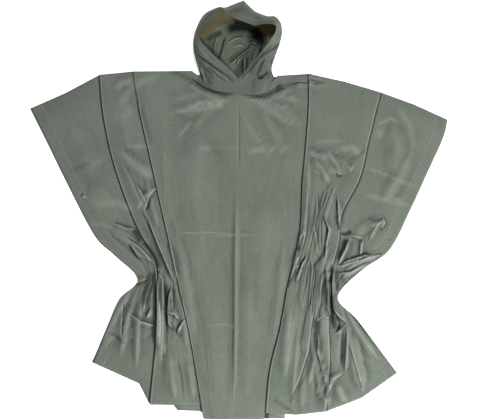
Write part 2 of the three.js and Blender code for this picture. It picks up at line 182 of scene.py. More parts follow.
def film(name, weld_in, tones, glow_brown=None):
    """The film in three tones, with its hem's weld line, and with painted shade and highlights along its
    pleats and fold edges, on its crests and in its troughs.
    """
    finish = Finish(name)
    place = finish.node("ShaderNodeTexCoord", {}, {}, "Object")
    cloud = finish.noise(place, CLOUD_PER_M, 3.0, 0.55).ramp(0.3, 0.7)
    mottle = finish.noise(place, 9 * CLOUD_PER_M, 3.0, 0.6)
    speckle = finish.noise(place, SPECKLE_PER_M, 3.0, 0.7).ramp(0.3, 0.7)
    grain = finish.noise(place, GRAIN_PER_M, 2.0, 0.6)
    crumple = finish.noise(place, CRUMPLE_PER_M, 3.0, 0.6)
    gathered, from_edge, crest_highlight, trough_shade, from_pleat, near_pleat = (
        finish.node("ShaderNodeAttribute", {"attribute_name": name}, {}, "Fac")
        for name in ("gathered", "from_edge", "crest_highlight", "trough_shade", "from_pleat", "near_pleat")
    )
    near_pleat = near_pleat.ramp(0.35, 0.55)
    cut = finish.node("ShaderNodeTexCoord", {}, {}, "UV")
    drawn = finish.node("ShaderNodeMapping", {}, {"Vector": cut, "Scale": DRAWN_PER_CUT})
    drawn = finish.noise(drawn, 1.0, 3.0, 0.6, "RIDGED_MULTIFRACTAL")
    weld = 1 - (from_edge - weld_in).absolute().ramp(0.4 * WELD_HALF, 1.6 * WELD_HALF)
    # Painted shadow: a thin dark line under each pleat and fold edge, painted shade beside it, and a painted
    # highlight on the rims of the cloth that lies over it.
    under = 1 - (from_pleat - 0.4 * PLEAT_LINE).absolute().ramp(0.3 * PLEAT_LINE, PLEAT_LINE)
    beside = from_pleat.ramp(-0.3 * PLEAT_LINE, 0.3 * PLEAT_LINE)
    beside = (1 - from_pleat.ramp(0.0, 2.6 * PLEAT_LINE)) * beside
    rim_highlight = 1 - (from_pleat + 0.9 * PLEAT_LINE).absolute().ramp(0.2 * PLEAT_LINE, 0.8 * PLEAT_LINE)
    under, beside, rim_highlight = (line * near_pleat for line in (under, beside, rim_highlight))
    deep, middle, pale = tones
    colour = finish.blend(cloud, deep, middle)
    colour = finish.blend(mottle * 0.3 + speckle * 0.3, colour, pale)
    # Painted glow: olive brown where light shines through the film inside the brow.
    if glow_brown:
        brown_glow = finish.node("ShaderNodeAttribute", {"attribute_name": "brown_glow"}, {}, "Fac").ramp(0.4, 0.6)
        colour = finish.blend(brown_glow * (1 - speckle * 0.3), colour, glow_brown)
    # Painted highlight on the edges' rims, then painted shade beside them and painted shadow under them.
    colour = finish.blend(rim_highlight * RIM_HIGHLIGHT_SHARE, colour, FILM_HIGHLIGHT_AND_WELD)
    colour = finish.blend(beside * BESIDE_SHADE_SHARE, colour, FILM_SHADE)
    colour = finish.blend(under * UNDER_SHADOW_SHARE, colour, FILM_SHADE)
    # Painted highlights on crests and sheen paths, and painted shade in troughs and along the shaded paths.
    colour = finish.blend(crest_highlight * CREST_HIGHLIGHT_SHARE, colour, FILM_HIGHLIGHT_AND_WELD)
    colour = finish.blend(trough_shade * (1.0 if glow_brown else 0.85), colour, FILM_SHADE)
    colour = finish.blend(weld * WELD_SHARE, colour, FILM_HIGHLIGHT_AND_WELD)
    roughness = 0.50 + cloud * 0.06 + grain * 0.10
    rough = finish.bump(grain, GRAIN_DEEP, 0.4)
    creased = finish.bump(crumple * (gathered * 0.4 + 0.6), CRUMPLE_DEEP, 0.6, rough)
    packed = finish.noise(place, PACKED_PER_M, 2.0, 0.45, "RIDGED_MULTIFRACTAL")
    creased = finish.bump(packed * cloud, PACKED_DEEP, 0.5, creased)
    creased = finish.bump(drawn * gathered, DRAWN_DEEP, 0.8, creased)
    normal = finish.bump(weld, WELD_DEEP, 0.8, creased)
    specular = LINING_SPECULAR if glow_brown else FILM_SPECULAR
    return finish.close(colour, roughness, normal, Specular_IOR_Level=specular)


# The body of the poncho is one sheet of film about 1.36 by 2.10 metres, folded over at the
# shoulders. This is its back half, which lies flat on the surface under the front, its edges just inside.
LINES = (
    "side_left", "arm_left", "outer_left", "inner_left", "neck_left", "chest_left", "centre",
    "chest_right", "neck_right", "inner_right", "flank", "outer_right", "arm_right", "side_right",
)
SECTIONS = (  # from shoulder to hem: where each line above crosses, in millimetres
    (  # shoulder
        (-626, 305), (-519, 352), (-418, 406), (-318, 416), (-141, 418), (-81, 373), (2, 358),
        (69, 356), (116, 403), (209, 409), (318, 385), (426, 353), (525, 317), (626, 271),
    ),
    (  # chest
        (-573, 199), (-486, 244), (-408, 292), (-298, 295), (-145, 295), (-72, 271), (1, 259),
        (69, 265), (129, 295), (209, 313), (306, 292), (411, 296), (503, 248), (612, 215),
    ),
    (  # ribs
        (-519, 88), (-441, 127), (-381, 160), (-268, 163), (-141, 163), (-70, 154), (0, 148),
        (69, 154), (134, 175), (200, 187), (291, 193), (389, 205), (465, 152), (564, 109),
    ),
    (  # elbow
        (-433, -76), (-387, -8), (-340, 35), (-241, 41), (-133, 43), (-69, 38), (-2, 35),
        (69, 43), (129, 64), (190, 76), (273, 91), (363, 97), (426, 41), (515, 2),
    ),
    (  # upper
        (-375, -134), (-331, -89), (-298, -65), (-219, -56), (-123, -62), (-66, -65), (-4, -68),
        (66, -65), (120, -50), (184, -56), (249, -17), (312, -5), (379, -65), (452, -119),
    ),
    (  # waist
        (-304, -207), (-273, -179), (-246, -158), (-195, -164), (-112, -173), (-63, -175), (-4, -176),
        (59, -170), (105, -155), (164, -155), (222, -125), (299, -98), (339, -140), (372, -178),
    ),
    (  # below
        (-358, -266), (-297, -260), (-246, -248), (-175, -254), (-102, -269), (-58, -271), (-5, -272),
        (51, -263), (92, -248), (143, -242), (204, -221), (272, -209), (287, -230), (297, -260),
    ),
    (  # hip
        (-394, -346), (-318, -353), (-246, -347), (-154, -344), (-91, -368), (-54, -370), (-6, -371),
        (42, -365), (81, -356), (124, -350), (189, -344), (270, -335), (312, -335), (356, -329),
    ),
    (  # thigh
        (-424, -418), (-324, -440), (-255, -455), (-133, -458), (-81, -494), (-49, -496), (-6, -497),
        (36, -494), (69, -488), (93, -479), (180, -479), (273, -467), (342, -455), (419, -413),
    ),
    (  # hem
        (-441, -456), (-299, -520), (-268, -583), (-106, -626), (-69, -627), (-42, -627), (-6, -627),
        (30, -627), (66, -627), (80, -607), (171, -614), (262, -604), (369, -563), (475, -488),
    ),
)
LAST = len(SECTIONS) - 1
FILM_THICK = 0.5 * MM
BACK_MIDDLE = 0.3 * MM
BACK_INSET = 6 * MM
BACK_GRID = 72
BACK_HEM = (
    (-430, -449), (-366, -484), (-293, -508), (-258, -572), (-203, -578), (-191, -600), (-113, -603),
    (-98, -620), (72, -620), (82, -601), (171, -608), (262, -598), (366, -557), (466, -483),
)
BACK_NECK = ((-318, 416), (-141, 410), (-90, 399), (0, 396), (80, 399), (116, 400), (209, 409))


def smooth(t):
    t = np.clip(t, 0.0, 1.0)
    return t * t * (3 - 2 * t)


def through(values, t):
    """A smooth curve through values at equal steps, read at t, which may be an array."""
    values = np.asarray(values, float)
    last = len(values) - 1
    i = np.clip(np.floor(t).astype(int), 0, last - 1)
    a, b, c, d = (values[np.clip(i + k, 0, last)] for k in (-1, 0, 1, 2))
    s = t - i
    start, end = (c - a) / 2, (d - b) / 2
    return b + s * (start + s * (3 * (c - b) - 2 * start - end + s * (2 * (b - c) + start + end)))


def line_at(name, v):
    """Where a named line crosses the sections v: x and y in metres."""
    places = np.array([section[LINES.index(name)] for section in SECTIONS]) * MM
    return through(places[:, 0], v), through(places[:, 1], v)


def sheet_of(name, places, material, lining=None):
    """A sheet of film through a grid of places, its rows running down from the shoulder."""
    rows, columns = places.shape[0] - 1, places.shape[1] - 1
    bm = bmesh.new()
    bm.loops.layers.uv.new("cut")
    bmesh.ops.create_grid(bm, x_segments=columns, y_segments=rows, size=0.5, calc_uvs=True)
    cells = [(round((0.5 - v.co.y) * rows), round((v.co.x + 0.5) * columns)) for v in bm.verts]
    for vert, cell in zip(bm.verts, cells):
        vert.co = places[cell]
    for face in bm.faces:
        face.smooth = True
    mesh = bpy.data.meshes.new(name)
    bm.to_mesh(mesh)
    bm.free()
    piece = bpy.data.objects.new(name, mesh)
    bpy.context.scene.collection.objects.link(piece)
    mesh.materials.append(material)
    if lining:
        mesh.materials.append(lining)
    return piece, cells


def thicken(piece, two_sided=False):
    solid = piece.modifiers.new("thickness", "SOLIDIFY")
    solid.thickness = FILM_THICK
    solid.offset = 0.0
    solid.material_offset = 1 if two_sided else 0


def note(piece, name, values):
    """Stores a value for each vertex that the material reads by name."""
    layer = piece.data.attributes.new(name, "FLOAT", "POINT")
    layer.data.foreach_set("value", np.asarray(values, np.float32))


film_body = film("film_body", WELD_IN, BODY_TONES)
rows = np.linspace(0, LAST, BACK_GRID + 1)
left_x, left_y = line_at("side_left", rows)
right_x, right_y = line_at("side_right", rows)
across = np.linspace(0, 1, BACK_GRID + 1)
back_places = np.zeros((BACK_GRID + 1, BACK_GRID + 1, 3))
top_x = np.array([line_at(n, 0.0)[0] for n in LINES])
top_y = np.array([line_at(n, 0.0)[1] for n in LINES]) - BACK_INSET
neck = np.array(BACK_NECK) * MM
hem = np.array(BACK_HEM) * MM
for i, v in enumerate(rows):
    x = left_x[i] + BACK_INSET + across * (right_x[i] - left_x[i] - 2 * BACK_INSET)
    top = left_x[0] + across * (right_x[0] - left_x[0])
    in_neck = (top > neck[0, 0]) & (top < neck[-1, 0])
    shoulder_y = np.where(in_neck, np.interp(top, neck[:, 0], neck[:, 1]), np.interp(top, top_x, top_y))
    hem_y = np.interp(left_x[-1] + across * (right_x[-1] - left_x[-1]), hem[:, 0], hem[:, 1])
    down = v / LAST
    side_y = left_y[i] * (1 - across) + right_y[i] * across
    share = np.abs(2 * across - 1) ** 3
    middle_y = shoulder_y * (1 - down) + hem_y * down
    y = middle_y * (1 - share) + side_y * share
    y = np.where(i == 0, shoulder_y, np.where(i == BACK_GRID, hem_y, y))
    back_places[i] = np.stack([x, y, np.full_like(x, BACK_MIDDLE)], axis=1)
back, _ = sheet_of("back_sheet", back_places, film_body)
thicken(back)
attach(back, "root")
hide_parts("back")

# The front half of the same sheet. Four pleats run from the shoulders to the hem, two on each
# side, and the cloth between them is drawn in to a gather at each side of the waist.
PASS = 2.2 * MM
SETTLE = 90 * MM
FRONT_LOW = 2.4 * MM
SHOULDER_LOW = 0.9 * MM
SHOULDER_TURN = 0.025
NECK_LIFT = 6 * MM
NECK_ROWS = 0.8
NECK_SIDES = (-150 * MM, 125 * MM)
NECK_EASE = 70 * MM
HANG_ROWS = 0.8
LOFT = 2.4 * MM
LOFT_EDGE = 70 * MM
FRONT_ROWS = 188
PLEATS = {  # the side its hidden fold runs to, its hem's step, and its depth at each section
    "outer_left": (1, 2, (9, 12, 16, 20, 22, 20, 24, 32, 42, 52)),
    "inner_left": (1, 40, (9, 12, 18, 24, 26, 24, 28, 32, 32, 26)),
    "inner_right": (1, -18, (9, 12, 18, 22, 24, 24, 28, 36, 46, 58)),
    "outer_right": (-1, 0, (9, 12, 16, 20, 22, 20, 24, 30, 36, 44)),
}
PLEAT_STARTS = {"inner_left": 0.78}  # the section from which its edge is sharp
PANELS = (  # the lines each panel crosses, with the columns of cloth up to each, and the pleats that raise it
    ({"side_left": 0, "arm_left": 14, "outer_left": 16}, ()),
    ({"outer_left": 0, "inner_left": 26}, ("outer_left",)),
    ({"inner_left": 0, "neck_left": 12, "chest_left": 8, "centre": 12, "chest_right": 12,
      "neck_right": 8, "inner_right": 12}, ("outer_left", "inner_left")),
    ({"inner_right": 0, "flank": 24, "outer_right": 24},
     ("outer_left", "inner_left", "inner_right", "outer_right")),
    ({"outer_right": 0, "arm_right": 14, "side_right": 14}, ("outer_left", "inner_left", "inner_right")),
)
FOLDS = (  # path, half width and height of each main fold, in millimetres
    (((-399, -41), (-338, -84), (-254, -158)), 16, 9),
    (((-447, 91), (-381, -35), (-321, -137)), 34, 3),
    (((-399, -353), (-339, -371), (-246, -359)), 18, 2.4),
    (((-324, -221), (-375, -311), (-408, -425)), 20, 7),
    (((-375, 181), (-312, 136), (-249, 91)), 20, 3),
    (((-33, 330), (-102, 315), (-183, 289)), 26, 2),
    (((39, 326), (111, 305), (183, 265)), 26, 2),
    (((201, 127), (273, 139), (339, 115)), 28, 4),
    (((303, 100), (271, 52), (243, -35), (246, -119), (267, -179)), 18, 6),
    (((447, -20), (390, -47), (333, -77)), 15, 3),
    (((264, -161), (263, -269), (255, -362), (273, -509)), 16, 7),
    (((288, -167), (290, -269), (321, -347), (336, -419)), 16, 7),
    (((237, -215), (216, -320), (192, -449)), 16, 9),
    (((237, -335), (231, -419), (246, -500), (260, -596)), 18, 8),
    (((210, -113), (201, -209), (186, -305)), 16, 5),
    (((333, -347), (348, -425), (375, -551)), 20, 7),
    (((147, 380), (210, 388), (279, 372)), 16, 3),
)
CREASES = (  # path walked down or to the right, width to the left of it and to the right, height
    (((-519, 106), (-459, 133), (-396, 157)), 6, 6, -1.4),
    (((-507, 271), (-465, 181), (-429, 73)), 22, 22, 1.6),
    (((-381, 352), (-351, 382), (-306, 391)), 9, 9, 2.2),
    (((-366, 178), (-312, 145), (-255, 97)), 6, 5, 2.6),
    (((-249, 67), (-270, 50), (-294, 28)), 6, 6, 4.5),
    (((-255, 52), (-270, 25), (-279, -8)), 6, 6, -2.5),
    (((-386, 197), (-352, 140), (-328, 97), (-306, 47), (-285, 4), (-258, -61), (-230, -130),
      (-197, -210)), 11, 4, 3.4),
    (((-357, 301), (-345, 241), (-327, 181)), 16, 16, 2),
    (((-279, 106), (-261, 16), (-237, -65)), 9, 7, 3.2),
    (((-300, 16), (-267, -59), (-237, -119)), 6, 5, -2),
    (((-239, -104), (-216, -155), (-189, -224)), 5, 4, 4),
    (((-213, -89), (-198, -155), (-186, -221)), 6, 5, 4.5),
    (((-223, -221), (-222, -299), (-223, -365), (-229, -479)), 5, 6, -4.5),
    (((-390, -356), (-366, -380), (-339, -407)), 6, 6, -1.4),
    (((-390, -329), (-360, -359), (-324, -389)), 7, 6, 1.8),
    (((-312, -218), (-360, -296), (-411, -401)), 9, 8, 4.2),
    (((-300, -227), (-333, -311), (-357, -455)), 8, 8, 4.2),
    (((-288, -236), (-303, -344), (-309, -491)), 8, 7, 4.2),
    (((-183, -239), (-165, -329), (-156, -425)), 8, 7, 3.4),
    (((-210, -413), (-201, -509), (-189, -575)), 10, 9, 3.2),
    (((-156, -443), (-144, -509), (-135, -575)), 8, 8, 2.8),
    (((-189, -425), (-174, -494), (-165, -575)), 6, 6, -1.8),
    (((1, 346), (1, 226), (0, 97)), 3, 3, -1.2),
    (((-7, 103), (-10, -59), (-12, -359), (-14, -497), (-20, -620)), 3, 9, 3.4),
    (((-291, 193), (-147, 185), (3, 187), (183, 193), (273, 190)), 4, 4, 0.6),
    (((-213, -68), (-102, -76), (3, -74), (177, -68)), 4, 4, 1.2),
    (((-153, -359), (-81, -353), (3, -350), (132, -356)), 4, 4, 0.7),
    (((-225, 343), (-222, 181), (-219, -47)), 4, 4, 0.6),
    (((-150, 405), (-119, 383), (-97, 363), (-72, 350), (-39, 341), (-6, 338)), 5, 6, -3.2),
    (((12, 339), (45, 337), (78, 340), (105, 363), (129, 376), (150, 378)), 6, 5, -3),
    (((-162, 389), (-120, 354), (-75, 336), (-24, 326)), 6, 8, 1.6),
    (((33, 324), (87, 330), (129, 354), (168, 366)), 8, 6, 1.6),
    (((-39, 329), (-102, 313), (-180, 286)), 7, 7, 1.5),
    (((-75, 356), (-135, 343), (-213, 328)), 7, 6, 1.3),
    (((-51, 334), (-105, 283), (-147, 223)), 9, 9, 1.2),
    (((39, 338), (117, 310), (201, 253)), 8, 7, 1.5),
    (((54, 328), (96, 253), (141, 181)), 9, 9, 1.2),
    (((69, 343), (138, 334), (201, 319)), 7, 7, 1.3),
    (((-117, 256), (-126, 46), (-102, -164)), 40, 40, 3),
    (((93, 61), (72, -149), (57, -359)), 36, 36, 3),
    (((-69, -119), (-78, -359), (-69, -584)), 32, 30, 2.6),
    (((39, -119), (27, -359), (24, -584)), 24, 24, 2.4),
    (((-177, -74), (-153, -239), (-123, -419)), 14, 12, 2.6),
    (((135, -74), (123, -239), (99, -419)), 14, 12, 2.4),
    (((216, 157), (249, 127), (273, 79)), 8, 6, 4),
    (((261, 181), (294, 139), (306, 94)), 7, 6, 4.2),
    (((287, 110), (297, 104), (312, 103)), 4, 4, -3.5),
    (((318, 142), (333, 121), (348, 142)), 4, 4, 3),
    (((201, 181), (231, 163), (273, 160)), 7, 7, 2.8),
    (((210, 181), (211, 73), (207, -5), (201, -56), (189, -116)), 10, 4, 3.4),
    (((303, -68), (321, -70), (342, -68)), 7, 7, -5),
    (((441, -26), (414, -40), (384, -50)), 5, 5, 4.5),
    (((420, -122), (363, -155), (309, -185)), 6, 6, 5.5),
    (((396, -155), (345, -179), (303, -206)), 5, 5, 4.5),
    (((273, -152), (278, -173), (282, -197)), 4, 4, -6.5),
    (((277, -179), (277, -269), (278, -365)), 6, 6, -5),
    (((296, -263), (309, -302), (323, -344)), 5, 5, 4),
    (((285, -308), (303, -335), (291, -374)), 7, 7, -3.2),
    (((327, -344), (323, -413), (317, -482)), 4, 4, 4.5),
    (((311, -359), (308, -419), (306, -476)), 6, 5, -3.4),
    (((318, -479), (279, -506), (263, -554), (265, -602)), 5, 8, 4.2),
    (((231, -422), (219, -473), (207, -530)), 7, 7, 4),
    (((246, -269), (240, -359), (249, -425)), 5, 5, -3),
    (((90, -557), (129, -584), (171, -608)), 6, 6, -1.6),
    (((303, -263), (351, -353), (426, -458)), 9, 8, 4.4),
    (((306, -305), (339, -404), (351, -533)), 9, 8, 3.6),
    (((318, -293), (357, -335), (393, -383)), 5, 5, -2.4),
    (((156, -269), (147, -395), (135, -515)), 10, 9, 3.2),
    (((174, -353), (165, -479), (159, -596)), 9, 9, 3.2),
    (((198, -455), (189, -533), (186, -605)), 8, 8, 2.8),
    (((291, -515), (309, -557), (327, -581)), 8, 8, 3),
    (((459, 271), (477, 181), (462, 85)), 20, 20, 2.6),
    (((519, 181), (480, 97), (426, 19)), 14, 14, 2.8),
    (((174, 380), (213, 389), (270, 378)), 6, 6, -2.2),
)
FOLD_EDGES = (  # walked with the shaded side on the left: path, width of the raised side, height
    (((294, -167), (300, -155), (318, -116), (335, -77)), 4, 6),
    (((372, -86), (336, -79)), 4, 3),
    (((362, -140), (365, -104), (372, -86)), 3.5, 3.5),
    (((303, -68), (297, -29), (296, 7), (294, 46)), 4.5, 3.5),
    (((288, 91), (270, 46), (251, -5), (245, -35), (245, -89), (251, -125)), 5, 4.5),
    (((258, -155), (260, -104), (269, -59), (252, -14)), 4.5, 4.5),
    (((236, 61), (237, -5), (227, -47), (234, -80), (237, -125)), 4.5, 3),
    (((210, 55), (204, -11), (201, -53), (186, -89), (171, -137)), 4, 3),
    (((168, -221), (189, -161), (207, -131)), 3.5, 3.2),
    (((213, -137), (210, -209), (198, -296)), 3.5, 3.2),
    (((255, -164), (248, -239), (243, -311)), 4, 5),
    (((272, -335), (264, -254), (261, -173)), 3, 5),
    (((270, -173), (270, -245), (276, -335)), 3, 5),
    (((306, -335), (281, -293), (279, -215), (285, -179)), 5, 5),
    (((294, -167), (330, -149), (378, -134), (426, -137)), 5, 3.6),
    (((231, -155), (222, -239), (216, -323)), 3.5, 3.4),
    (((-249, -167), (-225, -206), (-224, -269), (-225, -344), (-227, -425), (-228, -485)), 5, 6.5),
    (((-249, -485), (-248, -404), (-246, -329), (-247, -239), (-251, -167)), 5, 4.5),
    (((-253, -170), (-262, -221), (-274, -257), (-282, -293), (-282, -317)), 6, 5.5),
    (((-280, -325), (-265, -293)), 5, 3),
    (((-327, -305), (-297, -331), (-246, -346)), 6, 2.6),
    (((-339, -79), (-300, -107), (-279, -128), (-252, -160)), 6, 5),
    (((-297, -149), (-315, -122), (-333, -95)), 4, 3),
    (((-195, -362), (-213, -341), (-216, -299), (-212, -263), (-202, -221)), 5, 4.5),
    (((-201, -224), (-199, -263), (-198, -302)), 4, 4),
    (((-187, -374), (-183, -356), (-168, -332), (-156, -323)), 5, 3),
    (((-273, -206), (-304, -217), (-330, -236)), 6, 4),
    (((-345, -269), (-349, -329), (-351, -365), (-342, -404)), 8, 2),
    (((-183, -329), (-195, -313), (-213, -310)), 5, 2.4),
    (((-378, -35), (-345, -49), (-309, -55)), 6, 2.4),
    (((-195, -221), (-219, -161), (-234, -125), (-249, -92), (-264, -53), (-274, -14)), 9, 3.2),
    (((-306, 82), (-279, 31), (-267, -5)), 8, 2),
    (((-243, 67), (-267, 43), (-282, -5)), 7, 2.2),
    (((210, 91), (207, -35), (198, -89), (177, -155), (147, -233)), 5, 2.6),
    (((387, -92), (414, -41), (438, -20)), 5, 2),
    (((435, -23), (441, -41), (426, -59)), 4, 2),
    (((294, -170), (348, -152), (435, -128)), 6, 3),
    (((291, -188), (333, -185), (366, -167)), 5, 2.6),
    (((225, -143), (219, -224), (210, -299)), 5, 3.4),
    (((321, -338), (300, -320), (276, -293)), 6, 3.6),
    (((285, -371), (306, -356), (321, -338)), 5, 2.4),
    (((264, -599), (258, -515), (234, -425), (237, -359)), 7, 3.6),
    (((231, -275), (216, -359), (210, -419), (183, -503), (153, -572)), 7, 3),
    (((315, -491), (321, -437), (324, -353)), 8, 2.6),
    (((315, -491), (285, -509), (267, -563)), 6, 2),
    (((372, -548), (354, -479), (330, -398)), 7, 1.8),
    (((183, -107), (171, -155), (192, -179)), 5, 2.2),
    (((258, -317), (234, -335), (225, -377)), 5, 3),
    (((-45, 350), (-75, 358), (-102, 368), (-147, 401)), 5, 2),
    (((147, 371), (111, 358), (81, 349), (33, 348)), 5, 2),
    (((249, 379), (183, 385), (153, 379)), 5, 1.6),
)
FRONT_SHADES = (  # path, reach and depth of the deep shade in the hollows of the gathers and at the neckline
    (((-318, -56), (-306, -71), (-294, -98)), 15, 1),
    (((-294, -92), (-267, -115), (-249, -143), (-234, -179)), 10, 0.9),
    (((-357, -35), (-327, -56), (-306, -65)), 8, 0.6),
    (((-381, -47), (-345, -59), (-318, -71)), 7, 0.4),
    (((-279, -17), (-261, -74), (-237, -137), (-201, -215)), 7, 0.7),
    (((-220, -212), (-217, -269), (-219, -323), (-216, -377)), 12, 1),
    (((-254, -182), (-258, -221), (-270, -254), (-279, -290)), 8, 1),
    (((-330, -101), (-312, -127), (-295, -149)), 4, 0.9),
    (((-195, -230), (-193, -269), (-192, -302)), 7, 0.8),
    (((-207, -347), (-186, -362), (-171, -383)), 9, 0.65),
    (((-333, -236), (-297, -221), (-273, -209)), 7, 0.7),
    (((-267, -287), (-277, -311)), 5, 0.8),
    (((-390, -365), (-366, -383), (-348, -401)), 7, 0.5),
    (((306, -68), (321, -70), (339, -62)), 11, 1),
    (((257, -173), (258, -245), (263, -317)), 7, 1),
    (((279, -170), (276, -197), (275, -221)), 9, 1),
    (((318, -83), (306, -116), (291, -152)), 9, 0.9),
    (((339, -89), (333, -119), (321, -146)), 12, 0.55),
    (((294, -173), (294, -209), (297, -245)), 10, 0.85),
    (((282, -245), (279, -287), (285, -335), (291, -365)), 13, 0.9),
    (((315, -335), (315, -404), (312, -485)), 11, 0.55),
    (((231, -317), (231, -389), (234, -425)), 12, 0.85),
    (((237, -431), (252, -494), (261, -569)), 9, 0.7),
    (((213, -134), (192, -185), (171, -227)), 7, 0.5),
    (((183, -158), (171, -185), (162, -215)), 6, 0.5),
    (((218, -155), (214, -215), (204, -293)), 5, 0.5),
    (((236, -167), (231, -245), (224, -317)), 6, 0.5),
    (((260, -104), (252, -134), (222, -170)), 8, 0.9),
    (((251, -11), (264, -56), (257, -101)), 5, 0.9),
    (((291, 40), (294, -5), (297, -59)), 5, 0.8),
    (((144, -230), (135, -299), (138, -353)), 6, 0.5),
    (((222, -410), (201, -494), (153, -581)), 8, 0.5),
    (((339, -248), (312, -209), (303, -179)), 9, 0.6),
    (((387, -20), (405, -32), (435, -26)), 8, 0.6),
    (((-141, 394), (-99, 365), (-45, 350), (-3, 358)), 15, 0.9),
    (((3, 358), (39, 344), (87, 346), (141, 370)), 14, 0.8),
    (((147, 376), (183, 388), (237, 385)), 6, 0.4),
    (((-21, -77), (-27, -269), (-30, -449), (-30, -605)), 4, 0.35),
    (((-405, 403), (-381, 301), (-345, 181), (-309, 61)), 55, 0.15),
    (((-597, 295), (-507, 331), (-423, 385)), 60, 0.12),
    (((219, 385), (273, 331), (318, 286)), 50, 0.1),
    (((-318, -305), (-291, -326), (-249, -340)), 6, 0.6),
    (((-363, -323), (-333, -299), (-297, -269)), 12, 0.3),
    (((-207, 424), (-168, 403), (-129, 379)), 10, 0.7),
    (((195, 391), (147, 373), (69, 347)), 8, 0.7),
    (((-294, 319), (-279, 256), (-259, 196)), 12, 0.3),
    (((327, 151), (354, 160), (381, 181)), 8, 0.4),
)
FRONT_PAINTED_SHEENS = (  # and of the painted sheen, a pale highlight where the film is pulled tight or bent
    (((-207, 289), (-147, 304), (-117, 323), (-64, 319), (-34, 334)), 8, 0.8),
    (((-139, 301), (-87, 308), (-42, 316)), 9, 0.6),
    (((-139, 268), (-199, 203)), 4, 0.6),
    (((-357, 308), (-334, 353), (-297, 383), (-237, 403)), 16, 0.4),
    (((-379, 278), (-342, 286), (-319, 310)), 20, 0.35),
    (((-372, 193), (-237, 188), (-27, 184)), 3.4, 0.5),
    (((-522, 106), (-462, 127), (-402, 154)), 4, 0.6),
    (((-357, 178), (-304, 128), (-259, 98)), 12, 0.55),
    (((-252, 61), (-282, 43), (-304, 1)), 9, 0.7),
    (((-439, 16), (-372, 23), (-312, 1)), 16, 0.4),
    (((-447, -37), (-372, -52), (-309, -59)), 9, 0.4),
    (((-177, -67), (-96, -68), (-12, -71)), 3.4, 0.6),
    (((11, 338), (48, 331), (93, 301), (146, 263), (191, 253)), 8, 0.5),
    (((93, 353), (146, 338), (183, 331)), 7, 0.5),
    (((99, 313), (153, 308), (195, 316)), 6, 0.45),
    (((6, 295), (48, 226), (93, 151)), 5, 0.35),
    (((219, 205), (273, 208), (324, 211)), 8, 0.3),
    (((303, 181), (341, 188), (366, 163)), 14, 0.6),
    (((249, 151), (273, 173), (303, 173)), 10, 0.5),
    (((416, 256), (453, 274), (476, 263)), 7, 0.55),
    (((417, 244), (426, 217)), 14, 0.4),
    (((476, 308), (513, 256), (521, 203), (513, 136)), 10, 0.35),
    (((381, 128), (453, 103), (536, 68)), 5, 0.5),
    (((378, 46), (438, 31), (498, 16)), 12, 0.35),
    (((438, 43), (483, 31), (513, 8)), 8, 0.4),
    (((3, 178), (93, 178), (189, 181)), 3.4, 0.5),
    (((-108, -347), (-42, -341), (-6, -350)), 3.4, 0.4),
    (((261, 85), (273, 115), (297, 121)), 10, 0.4),
    (((-81, -119), (-75, -239), (-69, -389)), 60, 0.06),
    (((-237, -269), (-237, -359), (-235, -479)), 8, 0.3),
    (((-165, -269), (-147, -389), (-135, -539)), 14, 0.25),
    (((258, -269), (264, -359), (270, -425)), 7, 0.35),
    (((171, -269), (156, -389), (147, -509)), 16, 0.22),
    (((315, -161), (339, -155), (369, -146)), 14, 0.3),
    (((222, -359), (192, -443), (168, -524)), 10, 0.3),
)
SHEEN_GAIN = 1.7
EDGE_REACH = 9 * MM
EDGE_FOOT = 1.2
EDGE_SPREAD = 1.5
EDGE_GAIN = 1.5
FOLD_GAIN = 0.55
CREASE_SPREAD = 1.7
TROUGH_SPREAD = 1.1
CREASE_TIP = 0.08
CREASE_GAIN = 1.3
RISE_PASSES = 6
RISE_FULL = 2.2 * MM
GATHERS = (  # middle, reach across and reach down of each gathered part
    (-238 * MM, -185 * MM, 85 * MM, 190 * MM),
    (252 * MM, -190 * MM, 95 * MM, 230 * MM),
)


